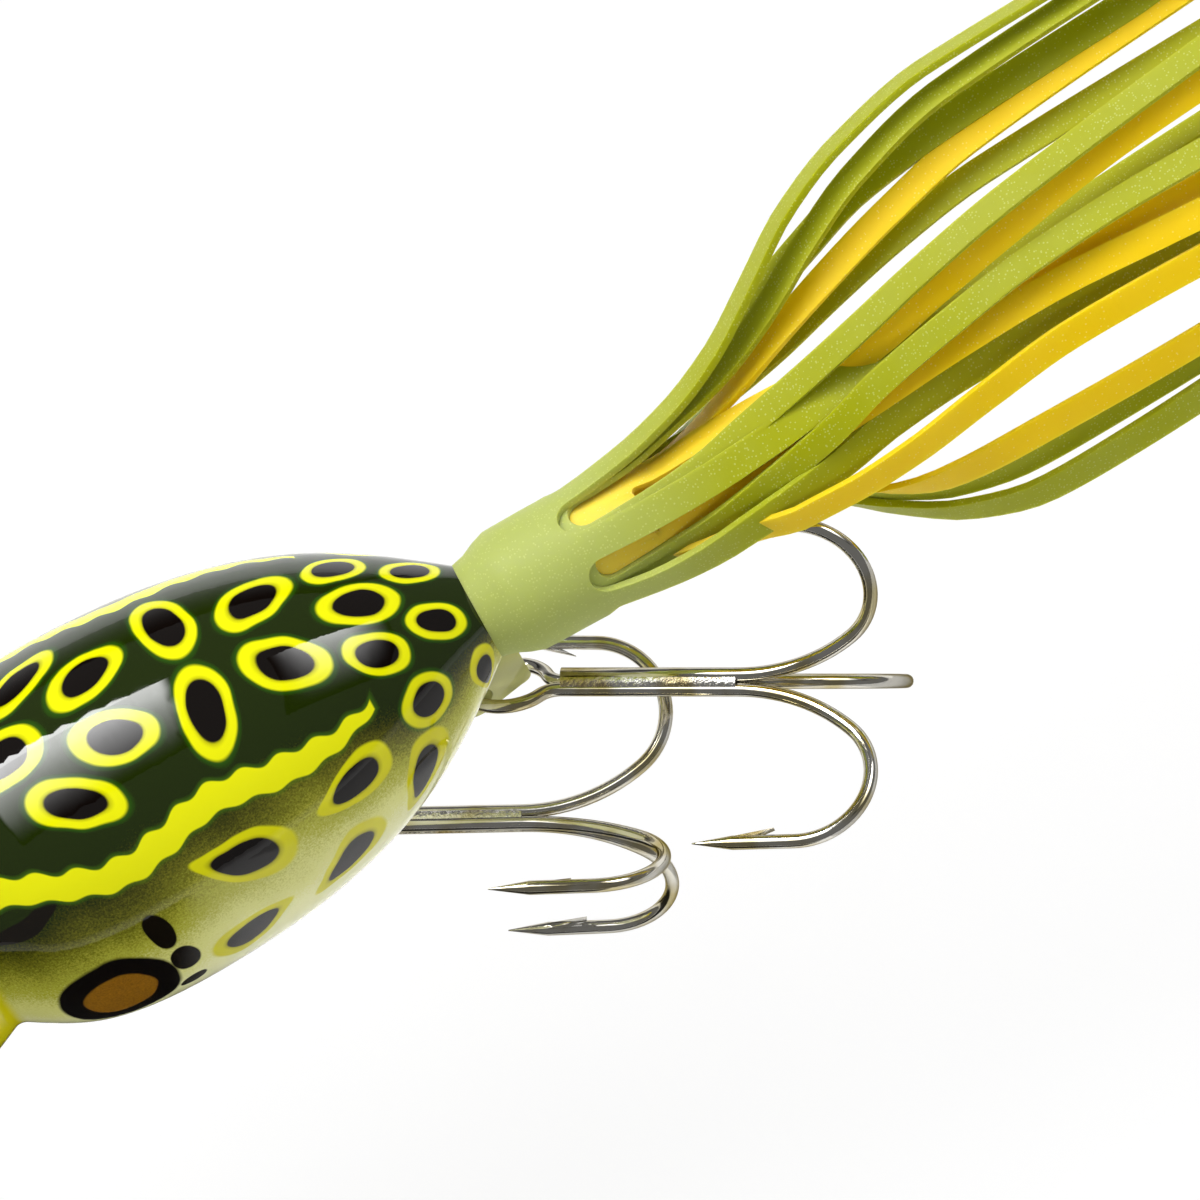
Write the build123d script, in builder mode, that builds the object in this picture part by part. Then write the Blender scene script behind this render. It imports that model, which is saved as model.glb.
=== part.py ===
"""A skirted topwater popper: a hollow floating body with a cupped mouth, a rubber skirt and two trebles.

The frame: +X points forward out of the mouth, +Y to the lure's left and +Z to its back.
The origin is the centre of the line-tie eye, which stands on the body's axis inside the mouth.
Stations are distances forward of the tail face, so a station s lies at X = tail_x + s.
Lengths are millimetres and angles are degrees.
"""

import os
from math import atan, atan2, cos, degrees, radians, sin, sqrt, tan

from build123d import *

os.makedirs("parts", exist_ok=True)

# ---------------------------------------------------------------- body
body_length = 57.0  # tail face to the tip of the lower lip
body_radius = 14.6  # at the widest station
tail_radius = 4.0  # of the flat tail face
neck_radius = 10.6  # at the crease behind the mouth
neck_fillet = 1.2
wall = 1.6  # of the moulded skin, measured square to the axis
# The outline's points between the tail and the neck, as shares of the length and of the radius.
outline_shares = [(0.172, 0.72), (0.30, 0.897), (0.51, 1.0), (0.712, 0.925)]
neck_share = 0.807  # of the length
tail_slope, neck_slope = 0.78, -0.62  # of the outline at its two ends
flare = 24.0  # how steeply the mouth opens ahead of the neck
tie_inset = 5.0  # centre of the line-tie eye, behind the tip of the lower lip

# ---------------------------------------------------------------- mouth
mouth_slant = 13.0  # the lower lip stands ahead of the upper lip
lip_wall = 1.3  # thickness of the rim
cup_depth = 7.5
cup_wall = 1.8  # between the cup and the hollow

# ---------------------------------------------------------------- spigot and skirt
outer_layer, middle_layer, inner_layer = 0.8, 0.7, 0.7  # rubber thicknesses
bulb_rise = 1.15  # how far the spigot swells behind its neck
bulb_start = 3.5
collar_length = 9.4
spigot_short = 0.2  # the spigot ends this far inside the collar
skirt_length = 76.0  # tail face to the tips
outer_leg, middle_leg, inner_leg = 2.9, 2.5, 2.0  # leg widths
inner_step = 0.15  # the inner legs drop this far inside their collar
bend_share = 0.42  # share of a leg that curves outwards; the rest curves back

# ---------------------------------------------------------------- hook lugs
lug_half = 0.85  # each body half carries half of the lug's thickness
lug_hole = 1.45  # radius
lug_rim = 0.95  # plastic around the hole
foot_spread = 2.2  # the belly lug's foot reaches this many lug radii to each side of the hole
rear_station = 3.6
rear_reach = 0.4  # hole centre below the shoulder's radius
skirt_room = 5.7  # hole centre at least this far below the collar, so that the treble clears the skirt
belly_station = 24.0
belly_reach = 1.0  # hole centre below the widest radius
fin_back = 1.2  # how far the tail lug reaches behind the tail face
fin_corner = 1.0
fin_clear = 0.25  # between the tail lug and the skirt's collar

# ---------------------------------------------------------------- line tie and seam
tie_wire = 0.5  # radius
tie_bore = 1.3  # radius of the eye's opening
tie_fit = 0.04  # around the screwed shank
tie_boss = 2.4
tie_grip = 8.0  # length of shank held behind the cup
peg_radius = 0.9
peg_length = 1.6
peg_fit = 0.05
peg_boss = 1.9
# Where the pegs stand, as shares of the body's length and radius, above and below the axis.
peg_shares = [(0.36, 0.93), (0.66, 0.95)]

# ---------------------------------------------------------------- trebles
wire = 0.55  # radius
eye_bore = 2.7  # radius of the eye's opening
eye_fillet = 1.8  # where the eye's arms turn into the shank
film = 0.06  # braze between two shanks
braze_radius = 0.95
braze_fit = 0.01
shank = 18.5  # eye centre to the point where the three wires part
throat_radius = 14.7  # the gentle first part of the bend
throat_turn = 40.0
bend_radius = 5.6  # the round part of the bend
bend_turn = 138.0
leg_length = 4.8  # straight wire between the bend and the point
point_length = 3.2
point_tip = 0.05
barb_start, barb_root, barb_end = 3.0, 4.9, 6.4  # distances behind the very tip
barb_stand = 0.55  # how far the barb lifts off the wire
barb_width = 0.5
barb_bed = 0.75  # the barb grows out of the wire from this share of its radius

# Each treble hangs by its eye: where the eye's centre lies from the lug's hole, how far the shank
# swings to the left and droops, and how far the single hook is rolled about the shank from upright.
rear_pose = dict(eye=(-2.77, 0.60, -0.81), yaw=32.0, droop=0.5, roll=-35.0)
belly_pose = dict(eye=(-2.69, -0.78, -0.65), yaw=26.0, droop=10.5, roll=166.0)

# ---------------------------------------------------------------- worked out
tail_x = tie_inset - body_length
neck_station = neck_share * body_length
outline_points = [(s * body_length, r * body_radius) for s, r in outline_shares]
shoulder = outline_points[0]
skin_points = [(0.0, tail_radius), *outline_points, (neck_station, neck_radius)]
spigot_radius = tail_radius - outer_layer - middle_layer - inner_layer
bulb_radius = spigot_radius + bulb_rise
collar_radius = bulb_radius + inner_layer + middle_layer + outer_layer
rear_depth = max(shoulder[1] + rear_reach, collar_radius + skirt_room)
rear_hole = (tail_x + rear_station, -rear_depth)
belly_hole = (tail_x + belly_station, -(body_radius + belly_reach))
lug_radius = lug_hole + lug_rim

lip_low = neck_radius + (body_length - neck_station) * tan(radians(flare))
face_x = tail_x + body_length - lip_low * tan(radians(mouth_slant))
face = Plane(
    origin=(face_x, 0, 0),
    z_dir=(cos(radians(mouth_slant)), 0, sin(radians(mouth_slant))),
)
# The rim is the ellipse in which the slanted face cuts the flared cone: its upper and lower ends
# lie at different distances from the axis, and the cup is centred between them.
cone_slope = tan(radians(flare))
face_slope = tan(radians(mouth_slant))
axis_radius = neck_radius + (face_x - tail_x - neck_station) * cone_slope
lip_high = axis_radius / (1 + cone_slope * face_slope)
rim_drop = (lip_low - lip_high) / 2
rim_radius = (lip_low + lip_high) / 2 / cos(radians(mouth_slant))
cup_opening = rim_radius - lip_wall
cup_radius = (cup_opening**2 + cup_depth**2) / (2 * cup_depth)
rim_centre = Vector(face_x + rim_drop * face_slope, 0, -rim_drop)
cup_centre = rim_centre + face.z_dir * (cup_radius - cup_depth)
cup_back = cup_centre.X - sqrt(cup_radius**2 - cup_centre.Z**2)  # where the axis meets the cup


def skin_line(inset):
    """The body's outline from the tail face to the neck, moved in towards the axis by inset."""
    return Spline(
        *[(tail_x + s, r - inset) for s, r in skin_points],
        tangents=[(1, tail_slope), (1, neck_slope)],
    )


# ---------------------------------------------------------------- body
# The hollow follows the skin, and stops short of the tail and of the cup.
hollow_start = tail_x + rear_station + lug_radius
with BuildPart() as hollow:
    with BuildSketch(Plane.XZ):
        with BuildLine():
            inside = skin_line(wall)
            Polyline(inside @ 1, ((inside @ 1).X, 0), (tail_x, 0), inside @ 0)
        make_face()
        with Locations((hollow_start, 0)):
            ahead = (Align.MIN, Align.CENTER)
            Rectangle(body_length, 4 * body_radius, align=ahead, mode=Mode.INTERSECT)
    revolve(axis=Axis.X)
    with Locations(cup_centre):
        Sphere(cup_radius + cup_wall, mode=Mode.SUBTRACT)

# A boss on the axis behind the cup grips the line tie, and four more carry the locating pegs.
tie_end = cup_back - tie_grip
peg_places = []
for share, skin_share in peg_shares:
    peg_height = skin_share * body_radius - wall - 0.6 * peg_boss
    peg_places += [
        (tail_x + share * body_length, peg_height),
        (tail_x + share * body_length, -peg_height),
    ]

# The whole moulding, before it is parted down the middle.
with BuildPart() as moulding:
    with BuildSketch(Plane.XZ):
        with BuildLine():
            outline = skin_line(0)
            Polyline(
                outline @ 1,
                (tail_x + body_length, lip_low),
                (tail_x + body_length, 0),
                (tail_x, 0),
                outline @ 0,
            )
        make_face()
        fillet(vertices().sort_by_distance(outline @ 1)[0], neck_fillet)
    revolve(axis=Axis.X)
    split(bisect_by=face, keep=Keep.BOTTOM)
    add(hollow.part, mode=Mode.SUBTRACT)

    # the boss for the line tie, the cup, and the tie's bore
    with BuildSketch(Plane.YZ.offset(tie_end - wall)):
        Circle(tie_boss)
    extrude(amount=tie_grip + wall + cup_wall)
    with Locations(cup_centre):
        Sphere(cup_radius, mode=Mode.SUBTRACT)
    with BuildSketch(Plane.YZ.offset(tie_end)):
        Circle(tie_wire + tie_fit)
    extrude(amount=tie_grip + cup_wall, mode=Mode.SUBTRACT)

    # bosses for the locating pegs
    with BuildSketch(Plane.XZ):
        with Locations(*peg_places):
            Circle(peg_boss)
    extrude(amount=peg_length + wall, both=True)

    # the spigot that the skirt is pushed over
    with BuildSketch(Plane.XZ):
        with BuildLine():
            bulb = tail_x - bulb_start
            spigot_tip = tail_x - collar_length + spigot_short
            Polyline(
                (tail_x + wall, 0),
                (tail_x + wall, spigot_radius),
                (tail_x, spigot_radius),
                (bulb, bulb_radius),
                (spigot_tip, bulb_radius),
                (spigot_tip, 0),
                close=True,
            )
        make_face()
    revolve(axis=Axis.X)

    # the tail lug, a fin whose back corner reaches under the skirt's collar
    fin_top = -(collar_radius + fin_clear)
    corner = (tail_x - fin_back + fin_corner, rear_hole[1] - 0.1 * lug_radius)
    with BuildSketch(Plane.XZ):
        with BuildLine():
            Polyline(
                (tail_x - fin_back, fin_top),
                (tail_x, fin_top),
                (tail_x, -spigot_radius),
                (hollow_start, -spigot_radius),
                (tail_x + shoulder[0], -shoulder[1] + wall / 2),
                (rear_hole[0] + lug_radius, rear_hole[1]),
                (rear_hole[0] - 0.35 * lug_radius, rear_hole[1] - 0.93 * lug_radius),
                (corner[0], corner[1] - fin_corner),
                corner,
                (tail_x - fin_back, corner[1]),
                close=True,
            )
        make_face()
        with Locations(corner):
            Circle(fin_corner)
        with Locations(rear_hole):
            Circle(lug_radius)
            Circle(lug_hole, mode=Mode.SUBTRACT)
    extrude(amount=lug_half, both=True)

    # the belly lug, a round ear whose foot spreads into the skin
    foot = body_radius - wall / 2
    with BuildSketch(Plane.XZ):
        with BuildLine():
            Polyline(
                (belly_hole[0] - foot_spread * lug_radius, wall / 2 - foot),
                (belly_hole[0] - 0.87 * lug_radius, belly_hole[1] - 0.5 * lug_radius),
                (belly_hole[0] + 0.87 * lug_radius, belly_hole[1] - 0.5 * lug_radius),
                (belly_hole[0] + foot_spread * lug_radius, -foot),
                close=True,
            )
        make_face()
        with Locations(belly_hole):
            Circle(lug_radius)
            Circle(lug_hole, mode=Mode.SUBTRACT)
    extrude(amount=lug_half, both=True)

# The two halves meet on the middle plane, where pegs on the left half locate the right one.
with BuildPart() as body_left:
    add(moulding.part)
    split(bisect_by=Plane.XZ, keep=Keep.BOTTOM)
    with BuildSketch(Plane.XZ):
        with Locations(*peg_places):
            Circle(peg_radius)
    extrude(amount=peg_length)

with BuildPart() as body_right:
    add(moulding.part)
    split(bisect_by=Plane.XZ, keep=Keep.TOP)
    with BuildSketch(Plane.XZ):
        with Locations(*peg_places):
            Circle(peg_radius + peg_fit)
    extrude(amount=peg_length + peg_fit, mode=Mode.SUBTRACT)

body_left.part.label = "body_left"
body_right.part.label = "body_right"
export_step(body_left.part, "parts/body_left.step")
export_step(body_right.part, "parts/body_right.step")

# ---------------------------------------------------------------- line tie
# One wire: a round eye on a straight shank that is screwed into the boss behind the cup.
tie_turn = tie_bore + tie_wire
with BuildPart() as line_tie:
    with BuildSketch(Plane.XY):
        with Locations((tie_turn, 0)):
            Circle(tie_wire)
    revolve(axis=Axis.Y)
    with BuildSketch(Plane.YZ.offset(tie_end + tie_fit)):
        Circle(tie_wire)
    extrude(amount=-tie_turn - tie_end - tie_fit)

line_tie.part.label = "line_tie"
export_step(line_tie.part, "parts/line_tie.step")


# ---------------------------------------------------------------- skirt
def skirt_leg(azimuth, lean, rise, settle, radius, width, thickness):
    """One leg: a flat strip that runs back from the collar, bends out towards lean, then settles.

    The azimuth is where it leaves the collar, counted from the back towards the left.
    Rise is the steepest slope away from the axis, and settle is the slope at the tip.
    """
    out = Vector(0, sin(radians(azimuth)), cos(radians(azimuth)))
    towards = Vector(0, sin(radians(lean)), cos(radians(lean)))
    back = Vector(-1, 0, 0)
    root = Vector(tail_x - collar_length, 0, 0) + out * radius
    reach = skirt_length - collar_length
    bend = bend_share * reach / radians(rise)
    return_bend = (1 - bend_share) * reach / radians(rise - settle)
    with BuildLine(Plane(origin=root, x_dir=back, z_dir=back.cross(towards))) as spine:
        first = JernArc((0, 0), (1, 0), bend, rise)
        JernArc(first @ 1, first % 1, return_bend, settle - rise)
    with BuildSketch(Plane(origin=root, x_dir=out.cross(back), z_dir=back)) as strip:
        Rectangle(width, thickness)
    sweep(strip.sketch, path=spine.line)


# The legs of each layer: azimuth, lean, rise and settle. On the lower left they lean out of the
# way of the rear treble.
green_legs = [
    (16, 16, 15, 4),
    (61, 26, 25, 6),
    (180, 222, 21, 2),
    (224, 236, 17, 2),
    (268, 266, 19, 5),
    (320, 306, 24, 9),
]
yellow_legs = [
    (-52, -50, 8, 1),
    (-8, -12, 8, 2),
    (46, 42, 9, 3),
    (172, 200, 7, 0),
    (218, 222, 6, 0),
    (263, 260, 7, 1),
]
middle_ease = 0.6  # the middle layer's legs spread this much less than the outer ones

# Each layer is a collar that sits on the one within it, with six legs.
layers = {
    "skirt_inner": (0, inner_layer, inner_leg, yellow_legs, 1.0, inner_step),
    "skirt_middle": (inner_layer, middle_layer, middle_leg, green_legs, middle_ease, 0),
    "skirt_outer": (inner_layer + middle_layer, outer_layer, outer_leg, green_legs, 1.0, 0),
}
for name, (inside, thickness, width, legs, ease, step) in layers.items():
    outside = inside + thickness
    with BuildPart() as skirt:
        with BuildSketch(Plane.XZ):
            with BuildLine():
                Polyline(
                    (tail_x, spigot_radius + inside),
                    (tail_x - bulb_start, bulb_radius + inside),
                    (tail_x - collar_length, bulb_radius + inside),
                    (tail_x - collar_length, bulb_radius + outside),
                    (tail_x - bulb_start, bulb_radius + outside),
                    (tail_x, spigot_radius + outside),
                    close=True,
                )
            make_face()
        revolve(axis=Axis.X)
        for azimuth, lean, rise, settle in legs:
            middle = bulb_radius + inside + thickness / 2 - step
            skirt_leg(azimuth, lean, ease * rise, ease * settle, middle, width, thickness)
    skirt.part.label = name
    export_step(skirt.part, f"parts/{name}.step")

# ---------------------------------------------------------------- trebles
# A treble is built standing on its eye: the shank runs up +Z from the eye's centre, and the single
# hook's bend lies towards +X. The other two hooks and the eye are one wire.
bundle = (2 * wire + film) / sqrt(3)  # each shank's distance from the treble's axis


def hook_bend(turn):
    """The bend, the point and the barb of one hook, from where its shank leaves the others.

    The turn is the hook's direction about the shank. In its plane x runs up the shank, y out.
    """
    square = (-sin(radians(turn)), cos(radians(turn)), 0)
    plane = Plane(origin=(0, 0, 0), x_dir=(0, 0, 1), z_dir=square)
    with BuildLine(plane) as bend:
        throat = JernArc((shank, bundle), (1, 0), throat_radius, throat_turn)
        curve = JernArc(throat @ 1, throat % 1, bend_radius, bend_turn)
        Line(curve @ 1, curve @ 1 + (curve % 1) * leg_length)
    with BuildSketch(Plane(origin=throat @ 0, z_dir=throat % 0)) as start:
        Circle(wire)
    sweep(start.sketch, path=bend.line)
    end, along = curve @ 1 + (curve % 1) * leg_length, curve % 1
    with BuildSketch(Plane(origin=end, z_dir=along)) as finish:
        Circle(wire)
    point_taper = degrees(atan((wire - point_tip) / point_length))
    extrude(finish.sketch, amount=point_length, taper=point_taper)

    # the barb is a sliver raised from the side away from the shank, its sharp end towards the bend
    tip = end + along * point_length
    aside = along.cross(plane.z_dir)
    with BuildLine(plane) as barb:
        Polyline(
            tip - along * barb_start + aside * wire * barb_bed,
            tip - along * barb_end + aside * (wire + barb_stand),
            tip - along * barb_root + aside * wire * barb_bed,
            close=True,
        )
    extrude(Face(barb.wire()), amount=barb_width / 2, both=True)


# The eye's arms leave its round part where a fillet circle touches it.
eye_turn = eye_bore + wire
half_gap = bundle * sin(radians(120))
fillet_up = sqrt((eye_turn + eye_fillet) ** 2 - (half_gap + eye_fillet) ** 2)
fillet_angle = degrees(atan2(half_gap + eye_fillet, fillet_up))
eye_offset = -bundle * cos(radians(120))  # from the eye's plane to the treble's axis
eye_plane = Plane(origin=(-eye_offset, 0, 0), x_dir=(0, 0, 1), z_dir=(-1, 0, 0))

with BuildPart() as double_hook:
    with BuildLine(eye_plane) as eye:
        down = Line((shank, -half_gap), (fillet_up, -half_gap))
        arm = JernArc(down @ 1, down % 1, eye_fillet, 90 - fillet_angle)
        loop = JernArc(arm @ 1, arm % 1, eye_turn, 2 * fillet_angle - 360)
        other = JernArc(loop @ 1, loop % 1, eye_fillet, 90 - fillet_angle)
        Line(other @ 1, eye_plane.from_local_coords((shank, half_gap)))
    with BuildSketch(Plane(origin=down @ 0, z_dir=down % 0)):
        Circle(wire)
    sweep(path=eye.line)
    hook_bend(120)
    hook_bend(240)

with BuildPart() as single_hook:
    with BuildSketch(Plane.XY.offset(fillet_up)):
        with Locations((bundle, 0)):
            Circle(wire)
    extrude(amount=shank - fillet_up)
    hook_bend(0)

# Braze fills the valleys between the three shanks.
with BuildPart() as braze:
    with BuildSketch(Plane.XY.offset(fillet_up)):
        Circle(braze_radius)
        with PolarLocations(bundle, 3):
            Circle(wire + braze_fit, mode=Mode.SUBTRACT)
    extrude(amount=shank - fillet_up)


def treble_place(hole, pose):
    """Where a treble stands: its eye's centre, the way its shank swings, and its roll."""
    yaw, droop, roll = (radians(pose[turn]) for turn in ("yaw", "droop", "roll"))
    along = Vector(-cos(yaw) * cos(droop), sin(yaw) * cos(droop), -sin(droop))
    upright = Vector(0, 0, 1) - along * along.Z
    upright = upright.normalized()
    single = upright * cos(roll) + along.cross(upright) * sin(roll)
    centre = Vector(hole[0], 0, hole[1]) + Vector(*pose["eye"]) + single * eye_offset
    return Plane(origin=centre, x_dir=single, z_dir=along).location


for side, hole, pose in (("rear", rear_hole, rear_pose), ("belly", belly_hole, belly_pose)):
    for name, made in (("double_hook", double_hook), ("single_hook", single_hook), ("braze", braze)):
        piece = made.part.moved(treble_place(hole, pose))
        piece.label = f"{side}_{name}"
        export_step(piece, f"parts/{side}_{name}.step")
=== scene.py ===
# %% [markdown]
# # A skirted topwater popper
# The lure is a hollow plastic body with a cupped mouth, sprayed in a spotted frog pattern and clear
# coated. A rubber skirt is pushed over its tail, and two treble hooks swing from moulded lugs.
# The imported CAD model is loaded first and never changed: it holds every size and every joint.

# %% Load the frame
import math

import bmesh
import bpy
import numpy as np
from mathutils import Matrix, Vector
from mathutils.kdtree import KDTree


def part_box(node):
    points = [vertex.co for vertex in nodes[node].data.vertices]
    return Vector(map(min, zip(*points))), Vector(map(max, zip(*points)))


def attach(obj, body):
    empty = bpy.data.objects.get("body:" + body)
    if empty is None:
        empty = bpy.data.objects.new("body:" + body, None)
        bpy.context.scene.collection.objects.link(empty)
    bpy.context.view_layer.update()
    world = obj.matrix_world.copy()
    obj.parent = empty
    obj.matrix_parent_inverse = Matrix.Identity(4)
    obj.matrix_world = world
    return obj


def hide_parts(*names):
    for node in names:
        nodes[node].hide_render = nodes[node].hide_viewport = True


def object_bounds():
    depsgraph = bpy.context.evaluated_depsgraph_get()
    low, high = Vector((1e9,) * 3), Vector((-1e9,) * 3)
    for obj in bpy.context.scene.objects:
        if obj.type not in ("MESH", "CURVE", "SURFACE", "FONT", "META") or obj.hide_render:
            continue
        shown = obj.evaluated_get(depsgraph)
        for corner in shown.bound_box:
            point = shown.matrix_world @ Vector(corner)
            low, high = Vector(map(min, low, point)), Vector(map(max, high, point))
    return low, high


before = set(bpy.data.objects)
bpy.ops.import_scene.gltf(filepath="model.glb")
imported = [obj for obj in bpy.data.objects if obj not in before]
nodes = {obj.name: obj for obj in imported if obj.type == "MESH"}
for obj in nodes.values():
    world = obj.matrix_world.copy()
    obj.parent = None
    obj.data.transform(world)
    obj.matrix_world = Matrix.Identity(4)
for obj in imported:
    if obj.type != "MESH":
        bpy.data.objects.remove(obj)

cad_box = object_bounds()
mm = 0.001
tail_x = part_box("skirt_outer")[1][0]
print("nodes:", len(nodes), "tail face at", round(tail_x / mm, 1), "mm")

# %% [markdown]
# ## Places on a body of revolution
# Everything on the lure is laid out round its long axis, so places are given as a craftsman would
# measure them: a distance along the axis from the tail face, a radius, and an azimuth counted in
# degrees from the back towards the left side.


# %% Smooth lines
def glide(stops, at):
    """A smooth curve through the stops, pairs of position and value, that never overshoots them."""
    where, values = np.array(stops, dtype=float).T
    rises = np.diff(values) / np.diff(where)
    slopes = np.zeros(len(where))
    turning = rises[1:] * rises[:-1] <= 0
    total = np.where(turning, 1, rises[1:] + rises[:-1])
    slopes[1:-1] = np.where(turning, 0, 2 * rises[1:] * rises[:-1] / total)
    slopes[-1] = rises[-1]
    span = np.clip(np.searchsorted(where, at) - 1, 0, len(where) - 2)
    width = where[span + 1] - where[span]
    t = np.clip((at - where[span]) / width, 0, 1)
    rise = values[span] * (1 + 2 * t) * (1 - t) ** 2 + values[span + 1] * t * t * (3 - 2 * t)
    lean = slopes[span] * t * (1 - t) ** 2 - slopes[span + 1] * t * t * (1 - t)
    return rise + lean * width


# %% The painted skin
def skin_profile():
    """Stations and radii of the painted skin, read from the upper side of the left half."""
    points = np.array([v.co for v in nodes["body_left"].data.vertices]) / mm
    upper = points[points[:, 2] > 0]
    station = upper[:, 0] - tail_x / mm
    radius = np.hypot(upper[:, 1], upper[:, 2])
    bins = np.arange(0, 46, 1.5)
    rows = []
    for low in bins:
        inside = (station >= low) & (station < low + 1.5)
        if inside.any():
            top = np.argmax(np.where(inside, radius, -1))
            rows.append((station[top], radius[top]))
    return np.array(rows).T


skin_station, skin_radius = skin_profile()
print("skin rows:", len(skin_station), "widest", round(float(skin_radius.max()), 2), "mm")

# %% [markdown]
# ## Colours and shader nodes
# Colours are written as the hex values that a screen shows, and one function turns them into the
# linear values that a renderer adds up. Shader graphs are wired by one helper: it makes a node, sets
# its settings and fills its sockets, either with a value or with a link from an earlier node.


# %% Colour and node helpers
def colour(code):
    """An sRGB hex code as linear red, green, blue and alpha."""
    parts = [int(code[i : i + 2], 16) / 255 for i in (1, 3, 5)]
    linear = [c / 12.92 if c <= 0.04045 else ((c + 0.055) / 1.055) ** 2.4 for c in parts]
    return (*linear, 1.0)


def add(tree, kind, sockets=None, **settings):
    """Adds one node; sockets maps an input's name or number to a value or to a socket."""
    made = tree.nodes.new(kind)
    for name, value in settings.items():
        setattr(made, name, value)
    for key, value in (sockets or {}).items():
        if isinstance(value, bpy.types.NodeSocket):
            tree.links.new(value, made.inputs[key])
        else:
            made.inputs[key].default_value = value
    return made


def new_material(name):
    """An empty material, its node tree and its shader."""
    material = bpy.data.materials.new(name)
    material.use_nodes = True
    tree = material.node_tree
    shader = tree.nodes["Principled BSDF"]
    return material, tree, shader


def dress(node, material):
    """Gives a carried CAD node its finish."""
    data = nodes[node].data
    data.materials.clear()
    data.materials.append(material)


print("lime paint in linear light:", [round(c, 3) for c in colour("#dfe010")[:3]])

# %% [markdown]
# ## The camera and the studio
# The lure is seen from its left and mostly from above, with a long lens, as small things are. The
# floor is a pale sheet, low enough for the belly hook to swing above it. To the camera it shows as
# white paper, and it still takes the soft shadow. A large soft box hangs over the head and a small
# one over the tail, and their reflections run along the glossy back. A card behind and a fill card
# in front lighten the shaded side; the fill card is kept out of the reflections. Black flags lie on
# the table beneath the head and the hooks, where only reflections see them, and give the glossy
# paint and the plated wire their dark lines.

# %% Camera
right = Vector((-0.875, 0.424, -0.235)).normalized()
towards = Vector((0.0, 0.485, 0.875)).normalized()
upward = towards.cross(right)
sensor = 36.0  # width in millimetres
distance = 600 * mm
frame_width = 92.3 * mm  # what the view spans at the tail face

camera_data = bpy.data.cameras.new("camera")
camera_data.sensor_width = sensor
camera_data.lens = sensor * distance / frame_width
camera_data.clip_start = 0.01
camera = bpy.data.objects.new("camera", camera_data)
bpy.context.collection.objects.link(camera)
aim = Vector((tail_x, 0, 0)) + right * 9.46 * mm + upward * 0.85 * mm
turned = Matrix((right, upward, towards)).transposed()
camera.matrix_world = Matrix.Translation(aim + towards * distance) @ turned.to_4x4()
bpy.context.scene.camera = camera
print("lens", round(camera_data.lens), "mm")

# %% Floor
floor_mesh = bpy.data.meshes.new("floor")
half = 1.5  # metres: half of the sheet's side
swing_room = 20 * mm  # the belly hook reaches 15 mm below its place at rest as it swings
ground = cad_box[0][2] - swing_room
corners = [(-half, -half, ground), (half, -half, ground), (half, half, ground), (-half, half, ground)]
floor_mesh.from_pydata(corners, [], [(0, 1, 2, 3)])
floor = bpy.data.objects.new("floor", floor_mesh)
bpy.context.collection.objects.link(floor)

paper, tree, shader = new_material("studio paper")
shader.inputs["Base Color"].default_value = colour("#f6f6f6")
shader.inputs["Roughness"].default_value = 0.9
rays = add(tree, "ShaderNodeLightPath")
glow = add(tree, "ShaderNodeEmission", {"Color": (1, 1, 1, 1), "Strength": 1.0})
sockets = {0: rays.outputs["Is Glossy Ray"], 1: 0.25}
mirrored = add(tree, "ShaderNodeMath", sockets, operation="MULTIPLY")
sockets = {0: rays.outputs["Is Camera Ray"], 1: 0.92, 2: mirrored.outputs[0]}
share = add(tree, "ShaderNodeMath", sockets, operation="MULTIPLY_ADD")
blend = add(
    tree,
    "ShaderNodeMixShader",
    {0: share.outputs[0], 1: shader.outputs[0], 2: glow.outputs[0]},
)
tree.links.new(blend.outputs[0], tree.nodes["Material Output"].inputs["Surface"])
floor_mesh.materials.append(paper)
print("floor at", round(ground / mm, 1), "mm")


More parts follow.
